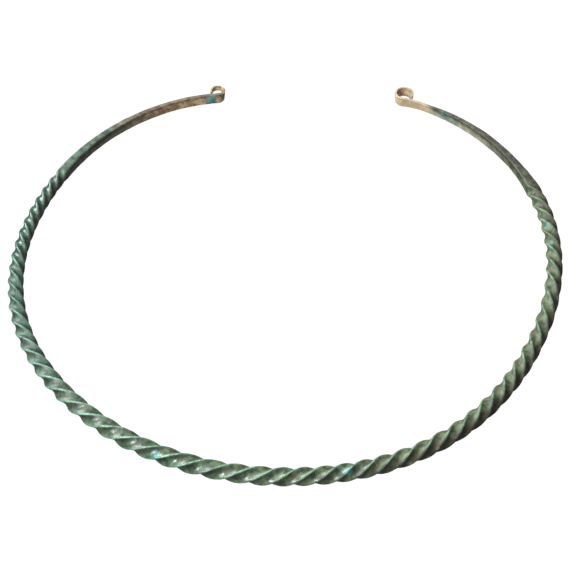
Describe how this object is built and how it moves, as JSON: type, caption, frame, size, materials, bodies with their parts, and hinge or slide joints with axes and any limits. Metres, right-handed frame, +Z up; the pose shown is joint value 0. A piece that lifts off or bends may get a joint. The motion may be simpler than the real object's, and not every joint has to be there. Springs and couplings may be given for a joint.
{
  "type": "bronze torc",
  "caption": "Open neck ring of one twisted square bar, with plain shanks hammered to straps and rolled outward into small eyelets.",
  "frame": {"origin": "on the ground under the middle of the ring's bounding box, with the ring lying flat", "axes": "+Z up; +Y from the thick front of the ring to the gap between its eyelets; +X to the right seen from the front"},
  "size_m": [0.1812, 0.1734, 0.0061],
  "materials": {
    "patinated_bronze": "aged green patina over bronze, worn to warm tan metal at the ends"
  },
  "bodies": {
    "root": {"twisted_neck_ring": "patinated_bronze"}
  },
  "joints": []
}
